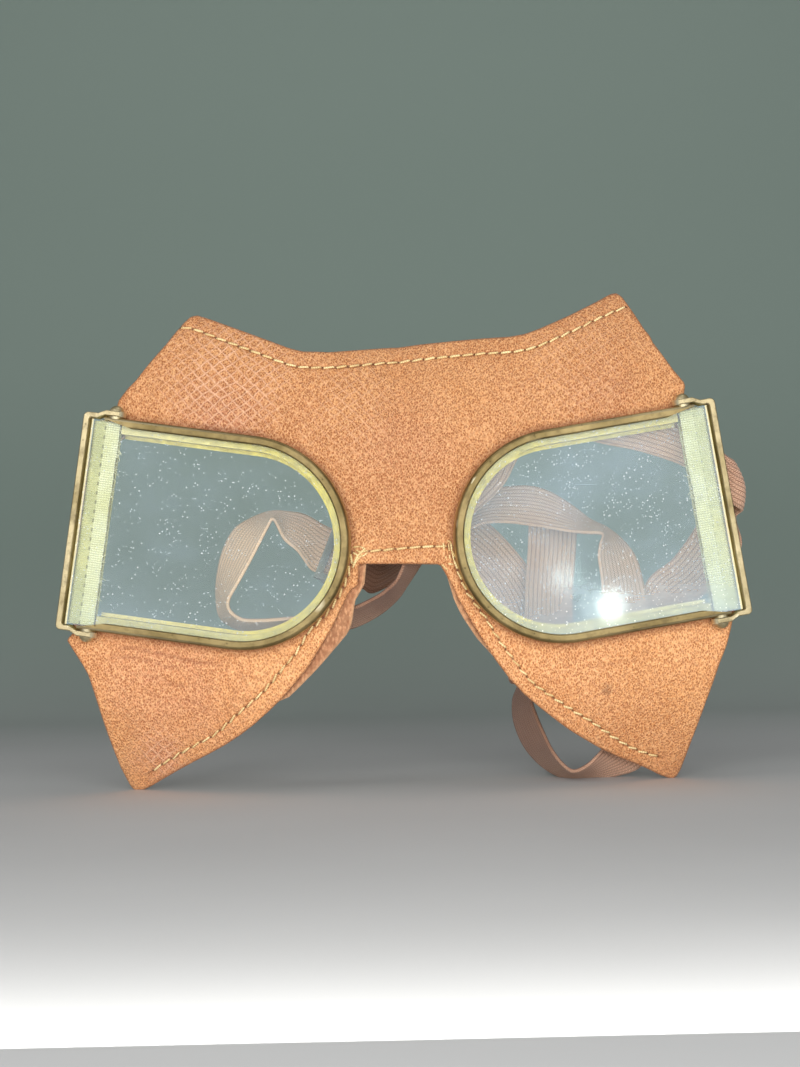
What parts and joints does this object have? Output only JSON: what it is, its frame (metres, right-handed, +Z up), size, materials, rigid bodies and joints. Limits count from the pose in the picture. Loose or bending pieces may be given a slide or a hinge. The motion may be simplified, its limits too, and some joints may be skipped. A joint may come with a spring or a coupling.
{
  "type": "vintage mask goggles",
  "caption": "Leather face mask goggles with flat D-shaped glass panes in brass channel rims, hinged wire gates at the outboard ends and a woven elastic head strap.",
  "frame": {"origin": "middle of the nose bridge, on the front plane of the two rims", "axes": "+Z up as worn, the front faces -Y, +X to the wearer's left"},
  "size_m": [0.1715, 0.0427, 0.1244],
  "materials": {
    "tan_leather": "worn pebbled grain",
    "lining_leather": "suede",
    "aged_brass": "tarnished",
    "bright_brass": "satin",
    "pane_glass": "hazy and scratched",
    "cotton_tape": "ribbed cotton",
    "woven_elastic": "herringbone weave",
    "slider_steel": "dull plated",
    "thread": "waxed thread"
  },
  "bodies": {
    "mask_and_frames": {"mask_leather": "tan_leather", "mask_lining": "lining_leather", "head_strap": "woven_elastic", "top_seam_thread": "thread", "bridge_seam_thread": "thread", "left_flap_seam_thread": "thread", "right_flap_seam_thread": "thread", "left_front_rim": "aged_brass", "left_back_ring": "aged_brass", "left_clamp_ring": "bright_brass", "left_lens": "pane_glass", "left_gate_upper_rivet": "aged_brass", "left_gate_lower_rivet": "aged_brass", "left_edge_tape": "cotton_tape", "right_front_rim": "aged_brass", "right_back_ring": "aged_brass", "right_clamp_ring": "bright_brass", "right_lens": "pane_glass", "right_gate_upper_rivet": "aged_brass", "right_gate_lower_rivet": "aged_brass", "right_edge_tape": "cotton_tape"},
    "left_gate": {"left_gate": "aged_brass"},
    "right_gate": {"right_gate": "aged_brass"},
    "strap_slider": {"strap_slider": "slider_steel"}
  },
  "joints": [
    {"name": "left_gate_hinge", "type": "hinge", "parent": "mask_and_frames", "child": "left_gate", "pos_m": [0.07365, 0.00736, 0.004], "axis": [0.1526, 0.0107, -0.9882], "range_deg": [0, 120]},
    {"name": "right_gate_hinge", "type": "hinge", "parent": "mask_and_frames", "child": "right_gate", "pos_m": [-0.07365, 0.00736, 0.004], "axis": [0.1526, -0.0107, 0.9882], "range_deg": [0, 120]},
    {"name": "strap_slider_slide", "type": "slide", "parent": "mask_and_frames", "child": "strap_slider", "axis": [0.9304, 0, -0.3666], "range_m": [-0.001, 0.004]}
  ]
}
